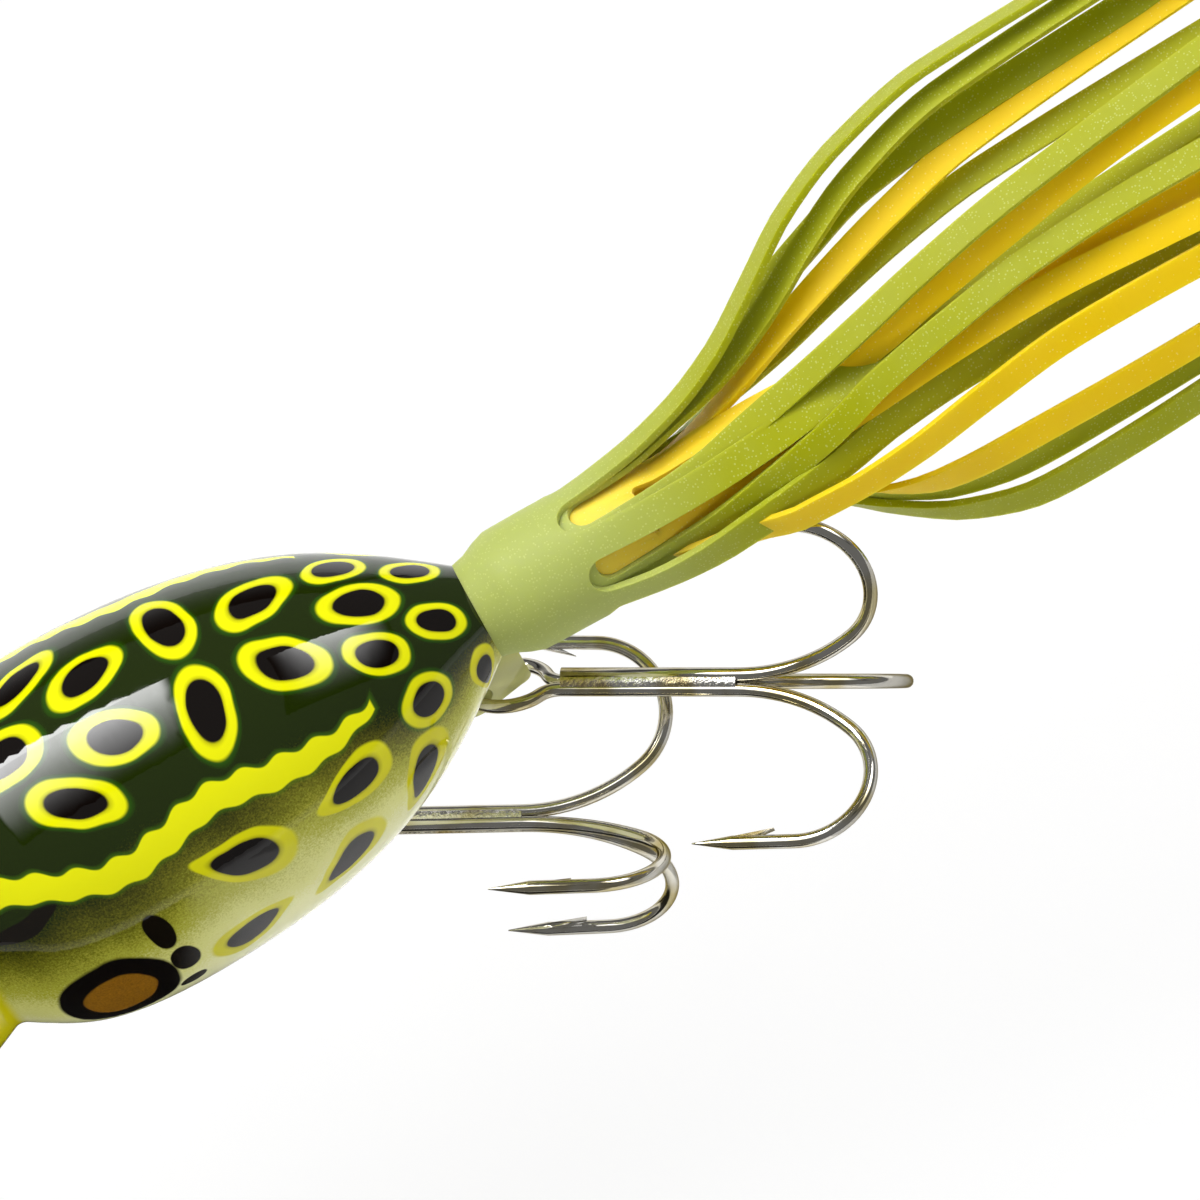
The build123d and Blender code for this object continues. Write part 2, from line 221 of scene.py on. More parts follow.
# %% Soft boxes
def soft_box(name, azimuth, lean, reach, width, height, glow, tail_fade):
    """A lamp with a diffusing front that glows most along its upper edge and fades downwards.

    The azimuth says where it hangs round the lure and the lean how far ahead of it, in degrees.
    The tail fade is the share of its width over which the glow dies away at both ends.
    """
    turn, tip_over = math.radians(azimuth), math.radians(lean)
    out = Vector((0, math.sin(turn), math.cos(turn)))
    facing = (out * math.cos(tip_over) + Vector((math.sin(tip_over), 0, 0))).normalized()
    along = (Vector((1, 0, 0)) - facing * facing.x).normalized()
    down = along.cross(facing) * -1
    data = bpy.data.meshes.new(name)
    w, h = width / 2, height / 2
    data.from_pydata([(-w, -h, 0), (w, -h, 0), (w, h, 0), (-w, h, 0)], [], [(0, 1, 2, 3)])
    box = bpy.data.objects.new(name, data)
    turned = Matrix((along, down, along.cross(down))).transposed()
    box.matrix_world = Matrix.Translation(aim + facing * reach) @ turned.to_4x4()
    bpy.context.collection.objects.link(box)

    front, tree, shader = new_material(name + " front")
    source = add(tree, "ShaderNodeTexCoord").outputs["Object"]
    parts = add(tree, "ShaderNodeSeparateXYZ", {0: source})
    fall = {"Value": parts.outputs["Y"], "From Min": h, "From Max": -h}
    upper = add(tree, "ShaderNodeMapRange", fall).outputs["Result"]
    upper = add(tree, "ShaderNodeMath", {0: upper, 1: 2.0}, operation="POWER").outputs[0]
    aside = add(tree, "ShaderNodeMath", {0: parts.outputs["X"]}, operation="ABSOLUTE").outputs[0]
    ends = {"Value": aside, "From Min": w, "From Max": w * (1 - 2 * tail_fade)}
    ends = add(tree, "ShaderNodeMapRange", ends, interpolation_type="SMOOTHSTEP").outputs["Result"]
    shape = add(tree, "ShaderNodeMath", {0: upper, 1: ends}, operation="MULTIPLY").outputs[0]
    strength = add(tree, "ShaderNodeMath", {0: shape, 1: glow}, operation="MULTIPLY").outputs[0]
    light = add(tree, "ShaderNodeEmission", {"Strength": strength})
    tree.links.new(light.outputs[0], tree.nodes["Material Output"].inputs["Surface"])
    data.materials.append(front)
    box.visible_camera = False


# azimuth and lean in degrees; reach, width and height in metres; glow; tail fade
lamps = {
    "large soft box": (-8, 12, 0.7, 0.50, 0.66, 19.0, 0.06),
    "small soft box": (6, -44, 0.7, 0.42, 0.52, 11.0, 0.4),
    "back card": (-88, 0, 0.8, 1.2, 0.6, 1.3, 0.1),
    "fill card": (68, -10, 0.8, 0.9, 0.5, 5.3, 0.3),
}
for lamp, settings in lamps.items():
    soft_box(lamp, *settings)
bpy.data.objects["fill card"].visible_glossy = False
print("soft boxes and cards:", len(lamps))


# %% Black flags
def black_flag(name, near, far, blend, depth):
    """A black net on the table that only reflections see, from near to far along the lure.

    It fades in over blend millimetres until it holds back the depth's share of the light.
    """
    level = ground + 0.3 * mm
    right_edge, left_edge = -50 * mm, 400 * mm
    near, far = tail_x + near * mm, tail_x + far * mm
    data = bpy.data.meshes.new(name)
    corners = [
        (near, right_edge, level),
        (far, right_edge, level),
        (far, left_edge, level),
        (near, left_edge, level),
    ]
    data.from_pydata(corners, [], [(0, 1, 2, 3)])
    flag = bpy.data.objects.new(name, data)
    bpy.context.collection.objects.link(flag)
    for kind in ("camera", "diffuse", "shadow", "transmission"):
        setattr(flag, "visible_" + kind, False)
    velvet, tree, shader = new_material(name + " velvet")
    shader.inputs["Base Color"].default_value = colour("#0a0a0a")
    shader.inputs["Roughness"].default_value = 1.0
    source = add(tree, "ShaderNodeTexCoord").outputs["Object"]
    parts = add(tree, "ShaderNodeSeparateXYZ", {0: source})
    full = near + blend * mm
    ramp = {"Value": parts.outputs["X"], "From Min": near, "From Max": full, "To Max": depth}
    thick = add(tree, "ShaderNodeMapRange", ramp, interpolation_type="SMOOTHSTEP")
    tree.links.new(thick.outputs["Result"], shader.inputs["Alpha"])
    data.materials.append(velvet)


black_flag("head flag", 24, 400, 16, 1.0)
black_flag("hook flag", -14, -400, -10, 0.4)

# %% The world
# It is white to the camera, and a dim even light to everything else.
world = bpy.data.worlds.new("studio")
bpy.context.scene.world = world
world.use_nodes = True
backdrop = world.node_tree.nodes["Background"]
backdrop.inputs["Color"].default_value = (1, 1, 1, 1)
rays = add(world.node_tree, "ShaderNodeLightPath")
sockets = {0: rays.outputs["Is Camera Ray"], 1: 0.84, 2: 0.16}
strength = add(world.node_tree, "ShaderNodeMath", sockets, operation="MULTIPLY_ADD")
world.node_tree.links.new(strength.outputs[0], backdrop.inputs["Strength"])
bpy.context.scene.view_settings.view_transform = "Standard"
print("world lights the lure at", sockets[2], "of white")

# %% [markdown]
# ## The painted body
# The body is moulded ABS. It is sprayed dark green on the back, fading through an olive speckle to
# a pale belly, and the spots, stripes and eyes are sprayed through masks before a clear coat.
# The paint is worked out in the shader from the distance along the body and the angle round it, so
# it needs no unwrapping. Each spot is an ellipse in the skin's own tangent plane: a mapping node
# turns and scales space until that ellipse is a unit circle, and the length of the mapped point
# then says how far out in the spot it is. Mirroring the sideways coordinate paints both sides.

# %% Where the marks are
# station mm, azimuth degrees, half length mm, half width mm, tilt degrees; sprayed as lime rings
back_rings = [
    (7.5, 0, 3.4, 1.9, 0),
    (36.5, 0, 3.5, 2.4, 0),
    (2.9, 25, 2.7, 1.6, -19),
    (6.3, 60, 2.6, 2.1, -12),
    (8.0, 27, 2.9, 1.7, -25),
    (14.3, 15, 3.5, 2.1, -30),
    (21.2, 18, 3.9, 2.1, 80),
    (28.3, 12, 3.5, 2.2, -20),
    (33.1, 24, 3.8, 2.0, -29),
    (42.0, 16, 2.6, 1.7, -20),
]
flank_rings = [
    (1.6, 87, 2.3, 1.9, 90),
    (9.3, 91, 3.6, 2.9, 40),
    (14.2, 66, 3.6, 2.6, 4),
    (17.4, 95, 4.0, 2.9, 22),
    (24.1, 65, 4.2, 2.9, -24),
    (26.4, 95, 3.8, 2.9, 192),
]
black_marks = [
    (32.4, 73, 2.0, 1.0, -84),
    (31.9, 89, 1.15, 1.6, 0),
    (32.4, 105, 1.2, 0.8, 20),
    (41.0, 51, 3.1, 0.8, 11),
]
eye_place = (37.7, 94)
eye_radius, iris_radius = 4.8, 2.9  # mm
paint_turn = -2.5  # degrees: the masks sit a little towards the right of the seam
print("marks on one side:", len(back_rings) + len(flank_rings) + len(black_marks) + 1)


# %% The shader's own coordinates
def body_coordinates(tree):
    """Millimetres from the tail, sideways and up, with the right side mirrored on to the left."""
    source = add(tree, "ShaderNodeTexCoord").outputs["Object"]
    turned = add(
        tree,
        "ShaderNodeMapping",
        {
            "Vector": source,
            "Location": (-tail_x / mm, 0, 0),
            "Rotation": (math.radians(paint_turn), 0, 0),
            "Scale": (1 / mm, 1 / mm, 1 / mm),
        },
    )
    parts = add(tree, "ShaderNodeSeparateXYZ", {0: turned.outputs[0]})
    side = add(tree, "ShaderNodeMath", {0: parts.outputs["Y"]}, operation="ABSOLUTE")
    whole = add(
        tree,
        "ShaderNodeCombineXYZ",
        {"X": parts.outputs["X"], "Y": side.outputs[0], "Z": parts.outputs["Z"]},
    )
    return whole.outputs[0], parts.outputs["X"], side.outputs[0], parts.outputs["Z"]


def calculate(tree, operation, *terms, clamp=False):
    """One arithmetic step on sockets or numbers."""
    sockets = dict(enumerate(terms))
    made = add(tree, "ShaderNodeMath", sockets, operation=operation, use_clamp=clamp)
    return made.outputs[0]


def fade(tree, value, start, end, low=0.0, high=1.0):
    """A smooth step from low at start to high at end."""
    sockets = {"Value": value, "From Min": start, "From Max": end, "To Min": low, "To Max": high}
    made = add(tree, "ShaderNodeMapRange", sockets, interpolation_type="SMOOTHSTEP")
    return made.outputs["Result"]


def over(tree, share, under, upper):
    """Lays the colour upper over the colour under, as thickly as share says."""
    made = add(
        tree,
        "ShaderNodeMix",
        {"Factor": share, 6: under, 7: upper},
        data_type="RGBA",
    )
    return made.outputs[2]


# %% One mark
def skin_plane(station, azimuth, tilt):
    """The skin's point at a place, and the Euler turn of its tangent plane there."""
    radius = float(np.interp(station, skin_station, skin_radius))
    slope = float(np.interp(station, skin_station, np.gradient(skin_radius, skin_station)))
    turn = math.radians(azimuth)
    out = Vector((0, math.sin(turn), math.cos(turn)))
    ahead = (Vector((1, 0, 0)) + out * slope).normalized()
    around = Vector((0, math.cos(turn), -math.sin(turn)))
    length = ahead * math.cos(math.radians(tilt)) + around * math.sin(math.radians(tilt))
    width = ahead.cross(around).cross(length)
    normal = length.cross(width)
    frame_turn = Matrix((length, width, normal)).transposed().to_euler()
    return Vector((station, out.y * radius, out.z * radius)), frame_turn


mark_depth = 9.0  # mm: a mark reaches this far into the body, and no further
waist_slope, waist_middle = -0.34, 0.70  # a pointed mark's breadth, which narrows forwards


def mark(tree, point, station, azimuth, long, short, tilt, pointed=False):
    """How far out in the mark each point lies: 0 at its middle and 1 on its edge."""
    centre, frame_turn = skin_plane(station, azimuth, tilt)
    mapped = add(
        tree,
        "ShaderNodeMapping",
        {
            "Vector": point,
            "Location": centre,
            "Rotation": frame_turn,
            "Scale": (long, short, mark_depth),
        },
        vector_type="TEXTURE",
    ).outputs[0]
    if pointed:
        parts = add(tree, "ShaderNodeSeparateXYZ", {0: mapped})
        waist = calculate(tree, "MULTIPLY_ADD", parts.outputs["X"], waist_slope, waist_middle)
        width = calculate(tree, "DIVIDE", parts.outputs["Y"], waist)
        sockets = {"X": parts.outputs["X"], "Y": width, "Z": parts.outputs["Z"]}
        mapped = add(tree, "ShaderNodeCombineXYZ", sockets).outputs[0]
    return add(tree, "ShaderNodeVectorMath", {0: mapped}, operation="LENGTH").outputs["Value"]


def nearest(tree, distances):
    """The smallest of several distances."""
    least = distances[0]
    for other in distances[1:]:
        least = calculate(tree, "MINIMUM", least, other)
    return least


# %% The sprayed ground
# The coats lie over each other from the back down: the azimuth in degrees where each begins and
# where it covers fully, and its colour.
back_green = "#1c2804"
flank_coats = [
    (40, 52, "#42420a"),
    (48, 62, "#74741c"),
    (58, 72, "#b0b03c"),
    (70, 84, "#dcdc84"),
    (84, 104, "#f0f0b4"),
    (108, 150, "#f2f2d0"),
]
print("coats over the back's green:", len(flank_coats))


def sprayed_ground(tree, point, station, azimuth, speck):
    """Dark back, speckled olive flank and pale belly; the dark dips lower at the tail and head."""
    cloud = add(tree, "ShaderNodeTexNoise", {"Vector": point, "Scale": 0.18, "Detail": 1.0})
    grain = calculate(tree, "MULTIPLY_ADD", speck, 30.0, -15.0)
    drift = calculate(tree, "MULTIPLY_ADD", cloud.outputs["Fac"], 16.0, -8.0)
    # the dark dips at the tail and head leave the pale coats reaching higher on the middle of the
    # flank, from 16 to 27 mm; that is partly the paint and partly a painted reflection of the pale
    # floor
    tail_dip = fade(tree, station, 16.0, 3.0, 0.0, 16.0)
    head_dip = fade(tree, station, 27.0, 38.0, 0.0, 8.0)
    level = calculate(tree, "SUBTRACT", azimuth, calculate(tree, "ADD", tail_dip, head_dip))
    level = calculate(tree, "ADD", level, calculate(tree, "ADD", grain, drift))
    coat = colour(back_green)
    for start, end, code in flank_coats:
        coat = over(tree, fade(tree, level, float(start), float(end)), coat, colour(code))
    return coat


# %% Rings, black marks and the eye
def sprayed_rings(tree, under, point, azimuth):
    """Lime rings with a green halo and grey-black centres."""
    back = nearest(tree, [mark(tree, point, *spot) for spot in back_rings])
    flank = nearest(tree, [mark(tree, point, *spot, pointed=True) for spot in flank_rings])
    rings = calculate(tree, "MINIMUM", back, flank)
    lime = over(tree, fade(tree, azimuth, 45.0, 80.0), colour("#e4e404"), colour("#d2cc04"))
    paint = over(tree, fade(tree, back, 1.22, 1.0, 0.0, 0.5), under, colour("#2f6a08"))
    paint = over(tree, fade(tree, rings, 1.06, 0.95), paint, lime)
    paint = over(tree, fade(tree, rings, 0.78, 0.6, 0.0, 0.5), paint, colour("#4a4204"))
    return over(tree, fade(tree, rings, 0.67, 0.60), paint, colour("#0d0806"))


def sprayed_eye(tree, under, point, speck):
    """The black marks behind the eye, its black surround and its amber iris."""
    black = nearest(tree, [mark(tree, point, *spot) for spot in black_marks])
    paint = over(tree, fade(tree, black, 1.08, 0.94), under, colour("#120d06"))
    eye = mark(tree, point, *eye_place, eye_radius, eye_radius, 0)
    paint = over(tree, fade(tree, eye, 1.04, 0.96), paint, colour("#0c0806"))
    iris_edge = iris_radius / eye_radius
    iris = over(tree, speck, colour("#4e2f06"), colour("#b07a1c"))
    return over(tree, fade(tree, eye, iris_edge + 0.03, iris_edge - 0.03), paint, iris)


# %% The wavy stripe
# the middle of the stripe: station mm, azimuth degrees
stripe_middle = [
    (9, 42),
    (13, 47.5),
    (18, 47),
    (24.5, 43),
    (28.5, 46.5),
    (32.5, 49),
    (36.5, 45),
    (41, 38),
    (46, 34),
]
stripe_end = 10.2  # mm: the stripe stops here
scallop = 2.9  # mm from one scallop to the next
curve_span, curve_rise = 50.0, 90.0  # mm and degrees: what 1 means on the float curve's axes
print("stripe stops:", len(stripe_middle))


def side_stripe(tree, under, station, side, height, azimuth):
    """A lime stripe with scalloped edges, from behind the mouth to a rounded end near the tail."""
    share = calculate(tree, "DIVIDE", station, curve_span)
    curve = add(tree, "ShaderNodeFloatCurve", {"Value": share})
    bends = curve.mapping.curves[0].points
    for index, (along, turn) in enumerate(stripe_middle):
        spot = (along / curve_span, turn / curve_rise)
        if index < 2:
            bends[index].location = spot
        else:
            bends.new(*spot)
    curve.mapping.update()
    middle = calculate(tree, "MULTIPLY", curve.outputs[0], curve_rise)
    away = calculate(tree, "SUBTRACT", azimuth, middle)
    side_squared = calculate(tree, "POWER", side, 2.0)
    height_squared = calculate(tree, "POWER", height, 2.0)
    radius = calculate(tree, "SQRT", calculate(tree, "ADD", side_squared, height_squared))
    away_mm = calculate(tree, "MULTIPLY", calculate(tree, "MULTIPLY", away, math.pi / 180), radius)
    wave = calculate(tree, "SINE", calculate(tree, "MULTIPLY", station, 2 * math.pi / scallop))
    snake = calculate(tree, "MULTIPLY_ADD", wave, 0.2, away_mm)
    breadth = fade(tree, station, 9.0, 19.0, 0.38, 1.15)
    breadth = calculate(tree, "MULTIPLY_ADD", wave, 0.05, breadth)
    edge = calculate(tree, "SUBTRACT", calculate(tree, "ABSOLUTE", snake), breadth)
    ahead = calculate(tree, "SUBTRACT", stripe_end, station)
    edge = calculate(tree, "MAXIMUM", edge, ahead)
    glow = over(tree, fade(tree, edge, 0.5, 0.0, 0.0, 0.4), under, colour("#4c8012"))
    return over(tree, fade(tree, edge, 0.08, -0.08), glow, colour("#e6e606"))


# %% The mouth and the lugs
neck = 45.6  # mm from the tail: the crease behind the mouth
lug_half = 0.87  # mm


def mouth_and_lugs(tree, under, station, side, height):
    """Yellow from the crease forward, and bare pale plastic on the tail lug."""
    paint = over(tree, fade(tree, station, neck - 0.5, neck + 0.5), under, colour("#d2c80e"))
    thin = fade(tree, side, lug_half + 0.05, lug_half - 0.05)
    deep = fade(tree, height, -4.2, -4.6)
    rear = fade(tree, station, 8.0, 6.5)
    share = calculate(tree, "MULTIPLY", calculate(tree, "MULTIPLY", thin, deep), rear)
    return over(tree, share, paint, colour("#c2c27c"))


# %% The clear-coated paint
def frog_paint():
    """Sprayed and clear-coated ABS: sharp reflections over soft sprayed edges."""
    material, tree, shader = new_material("clear-coated paint on ABS")
    point, station, side, height = body_coordinates(tree)

    # the point is in millimetres, so a pattern's scale is in repeats per millimetre
    ragged = add(tree, "ShaderNodeTexNoise", {"Vector": point, "Scale": 0.32, "Detail": 0.5})
    offset = {0: ragged.outputs["Color"], 1: (0.5, 0.5, 0.5)}
    shift = add(tree, "ShaderNodeVectorMath", offset, operation="SUBTRACT")
    wander = add(tree, "ShaderNodeVectorMath", {0: shift.outputs[0], "Scale": 0.8}, operation="SCALE")
    sockets = {0: point, 1: wander.outputs[0]}
    hand_cut = add(tree, "ShaderNodeVectorMath", sockets, operation="ADD").outputs[0]
    angle = calculate(tree, "ARCTAN2", side, height)
    azimuth = calculate(tree, "MULTIPLY", angle, 180 / math.pi)
    sockets = {"Vector": point, "Scale": 6.0, "Detail": 3.0, "Roughness": 0.7}
    speck = add(tree, "ShaderNodeTexNoise", sockets).outputs["Fac"]
    coats = sprayed_ground(tree, point, station, azimuth, speck)
    coats = sprayed_rings(tree, coats, hand_cut, azimuth)
    coats = sprayed_eye(tree, coats, hand_cut, speck)
    coats = side_stripe(tree, coats, station, side, height, azimuth)
    coats = mouth_and_lugs(tree, coats, station, side, height)
    tree.links.new(coats, shader.inputs["Base Color"])
    shader.inputs["Roughness"].default_value = 0.5
    shader.inputs["Specular IOR Level"].default_value = 0.0
    shader.inputs["Coat Weight"].default_value = 1.0
    shader.inputs["Coat Roughness"].default_value = 0.03
    return material


paint = frog_paint()
for half_shell in ("body_left", "body_right"):
    dress(half_shell, paint)
print("paint nodes:", len(paint.node_tree.nodes))

# %% [markdown]
# ## The rubber skirt
# The skirt is three tubes of soft silicone rubber, one inside another, each slit into strands from
# its middle to its tips. The slits end in round holes where the punch stopped. Each strand is
# swept along its own smooth line: a flat strip that is curved like the collar where it begins and
# flattens towards its tip. Neighbouring strips share their edges up to the slits, so welding them
# makes the collar. The strands keep out of the way of the hooks that swing beneath them.

# %% Strand tables
# Each strand: where its middle leaves the collar (degrees), then stops of millimetres behind the
# tail face, millimetres from the axis, and degrees of azimuth, and the strip's twist at its tip.
outer_strands = [
    (
        -33,
        [(15, 6, -32), (20, 7.4, -32), (25, 9.7, -34), (30, 13.2, -36), (35, 16.7, -38),
         (41, 19.4, -39), (50, 21.4, -40), (76, 22.3, -41)],
        0,
    ),
    (
        27,
        [(15, 5.3, 29), (20, 5.5, 28), (25, 5.7, 24), (30, 5.7, 18), (35, 5.6, 8), (42, 5.6, -4),
         (55, 6.8, -18), (76, 8, -26)],
        0,
    ),
    (
        87,
        [(12, 5.6, 88), (15, 6.2, 84), (20, 6.9, 75), (25, 6.8, 70), (30, 6.1, 67),
         (35, 5.2, 61), (42, 4.7, 56), (55, 4.5, 54), (76, 5, 55)],
        10,
    ),
    (
        147,
        [(12, 5.1, 154), (17, 5.9, 173), (25, 7.5, 171), (28, 8.7, 166), (32, 10.8, 154),
         (37, 12.6, 140), (43, 13.5, 130), (50, 13.2, 125), (76, 11, 118)],
        55,
    ),
    (
        207,
        [(20, 6.4, 205), (35, 9.1, 200), (50, 10.8, 196), (76, 12.4, 195)],
        0,
    ),
    (
        267,
        [(14, 5.1, 281), (20, 6.2, 305), (24, 7.8, 312), (27, 9.2, 315), (30, 10.7, 316),
         (35, 12.8, 316), (41, 14.8, 315), (50, 16.1, 316), (76, 17.7, 315)],
        -60,
    ),
]
middle_strands = [
    (
        -38,
        [(15, 5.1, -35), (20, 6.3, -36), (25, 7.8, -36), (30, 10.3, -36), (35, 13.4, -37),
         (41, 16.5, -38), (50, 19, -39), (76, 20.9, -40)],
        -30,
    ),
    (
        22,
        [(15, 4.6, 20), (20, 4.9, 15), (25, 5.7, 5), (30, 6.8, -1), (35, 8.4, -4),
         (42, 10.3, -9), (50, 12.2, -12), (76, 15.6, -19)],
        -15,
    ),
    (
        82,
        [(15, 4.5, 79), (20, 5.3, 66), (25, 5.8, 53), (30, 6.4, 41), (35, 7, 27), (42, 7.7, 16),
         (50, 8.5, 8), (60, 9.1, 5), (76, 9.8, 5)],
        0,
    ),
    (
        142,
        [(12, 4.2, 150), (17, 4.9, 172), (25, 6.4, 170), (28, 7.3, 164), (32, 8.9, 151),
         (37, 10.3, 138), (43, 10.8, 129), (50, 10.6, 126), (76, 9.4, 124)],
        55,
    ),
    (
        202,
        [(25, 5.7, 224), (40, 7.5, 225), (76, 9.5, 227)],
        0,
    ),
    (
        262,
        [(14, 4.5, 268), (20, 4.8, 282), (25, 5.5, 295), (30, 6.7, 307), (35, 8.3, 315),
         (42, 10.2, 319), (50, 11.5, 319), (76, 12.7, 318)],
        -55,
    ),
]
inner_strands = [
    (
        -69,
        [(17, 3.8, -58), (21, 4.4, -48), (25, 5.8, -41), (30, 8.1, -38), (35, 10.1, -37),
         (42, 12.4, -38), (50, 14.3, -40), (76, 16.8, -43)],
        -50,
    ),
    (
        -24,
        [(17, 3.8, -24), (21, 4.3, -20), (26, 4.7, -13), (31, 5.2, -5), (36, 6.4, 2),
         (42, 8, -3), (50, 9.7, -8), (60, 11.5, -12), (76, 13.1, -14)],
        -45,
    ),
    (
        21,
        [(20, 3.9, 23), (30, 4.4, 18), (40, 4.4, 13), (50, 5.4, 12), (60, 6.3, 12),
         (76, 6.7, 16)],
        0,
    ),
    (
        66,
        [(17, 3.9, 58), (21, 4, 52), (25, 4.2, 44), (30, 4.9, 40), (35, 5.5, 35), (42, 6, 29),
         (50, 6.5, 26), (60, 7.2, 30), (76, 8.1, 36)],
        0,
    ),
    (
        111,
        [(15, 4.2, 98), (17, 5.2, 89), (20, 6, 84), (22.5, 6.9, 80), (25, 7.9, 78),
         (30, 7.9, 79), (35, 7.7, 77), (42, 7.2, 69), (50, 6.8, 61), (60, 7.1, 58),
         (76, 7.8, 57)],
        10,
    ),
    (
        156,
        [(17, 4.2, 174), (24, 5.2, 172), (28, 6.2, 162), (32, 7.9, 141), (37, 8.8, 118),
         (43, 9.2, 106), (50, 9.2, 105), (76, 8.6, 100)],
        45,
    ),
    (
        201,
        [(17, 3.7, 201), (30, 4.6, 203), (76, 6, 209)],
        0,
    ),
    (
        246,
        [(17, 3.7, 245), (30, 3.8, 256), (76, 5.4, 265)],
        0,
    ),
]
print("strands:", len(outer_strands) + len(middle_strands) + len(inner_strands))


# %% One strand
across = np.linspace(-1, 1, 9)
skirt_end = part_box("skirt_outer")[0][0]
skirt_length = (tail_x - skirt_end) / mm
settling = 24  # mm behind the slit until a strand is flat
print("skirt behind the tail face:", round(skirt_length, 1), "mm")


def strand_rows(root, stops, twist, collar, sector, width):
    """The strip's points, one row for each step along it, from the tail face to the tip.

    The collar gives its radius behind the tail, and its last stop is where the slits start; the
    sector is half of the strip's share of the tube in radians; width is the strand's, in mm.
    """
    slit, tube_radius = collar[-1]
    punch = sector * tube_radius - width / 2
    collar_steps = np.linspace(0, slit, 9)
    hole_steps = slit + punch * np.linspace(0, 1, 7) ** 2
    free_steps = np.linspace(slit + punch, skirt_length, 44)
    behind = np.unique(np.concatenate([collar_steps, hole_steps, free_steps]))
    path = [(0.0, collar[0][1], root), *[(s, r, root) for s, r in collar[1:]], *stops]
    radius = glide([(s, r) for s, r, a in path], behind)
    azimuth = np.radians(glide([(s, a) for s, r, a in path], behind))
    out = np.stack([0 * azimuth, np.sin(azimuth), np.cos(azimuth)], 1)
    middle = out * radius[:, None]
    middle[:, 0] = tail_x / mm - behind
    along = np.gradient(middle, axis=0)
    along /= np.linalg.norm(along, axis=1)[:, None]
    free = np.clip((behind - slit) / settling, 0, 1)
    free = free * free * (3 - 2 * free)
    side = np.cross(along, out)
    side /= np.linalg.norm(side, axis=1)[:, None]
    normal = out + (np.cross(side, along) - out) * free[:, None]
    normal /= np.linalg.norm(normal, axis=1)[:, None]
    turn = np.radians(twist) * free
    flat = side * np.cos(turn)[:, None] + normal * np.sin(turn)[:, None]
    proud = normal * np.cos(turn)[:, None] - side * np.sin(turn)[:, None]
    opened = np.clip((behind - slit) / punch, 0, 1)
    cut = punch * np.sqrt(np.clip(1 - (1 - opened) ** 2, 0, 1))
    half = np.where(behind <= slit, sector * radius, sector * tube_radius - cut)
    bow = radius * (1 + 9 * free)
    spread = across[None, :] * (half / bow)[:, None]
    rows = middle[:, None] + flat[:, None] * (bow[:, None] * np.sin(spread))[..., None]
    rows -= proud[:, None] * (bow[:, None] * (1 - np.cos(spread)))[..., None]
    return rows * mm


# %% A slit tube
def slit_tube(name, strands, collar, width, thickness, material):
    """One layer of the skirt: its strips are welded at the collar, thickened and softened."""
    shape = bmesh.new()
    sector = math.pi / len(strands)
    for root, stops, twist in strands:
        rows = strand_rows(root, stops, twist, collar, sector, width)
        grid = [[shape.verts.new(point) for point in row] for row in rows]
        for row, following in zip(grid, grid[1:]):
            for i in range(len(across) - 1):
                shape.faces.new((row[i], row[i + 1], following[i + 1], following[i]))
    bmesh.ops.remove_doubles(shape, verts=shape.verts, dist=0.02 * mm)
    bmesh.ops.recalc_face_normals(shape, faces=shape.faces)
    data = bpy.data.meshes.new(name)
    shape.to_mesh(data)
    shape.free()
    data.shade_smooth()
    data.materials.append(material)
    tube = bpy.data.objects.new(name, data)
    bpy.context.collection.objects.link(tube)
    wall = tube.modifiers.new("wall", "SOLIDIFY")
    wall.thickness = thickness * mm
    wall.offset = -1
    rim = tube.modifiers.new("rim", "BEVEL")
    rim.width = 0.16 * mm
    rim.segments = 3
    rim.limit_method = "ANGLE"
    rim.angle_limit = math.radians(50)
    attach(tube, "body")
    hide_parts(name.replace("_strands", ""))
    print(name, "strands", len(strands), "faces", len(data.polygons))


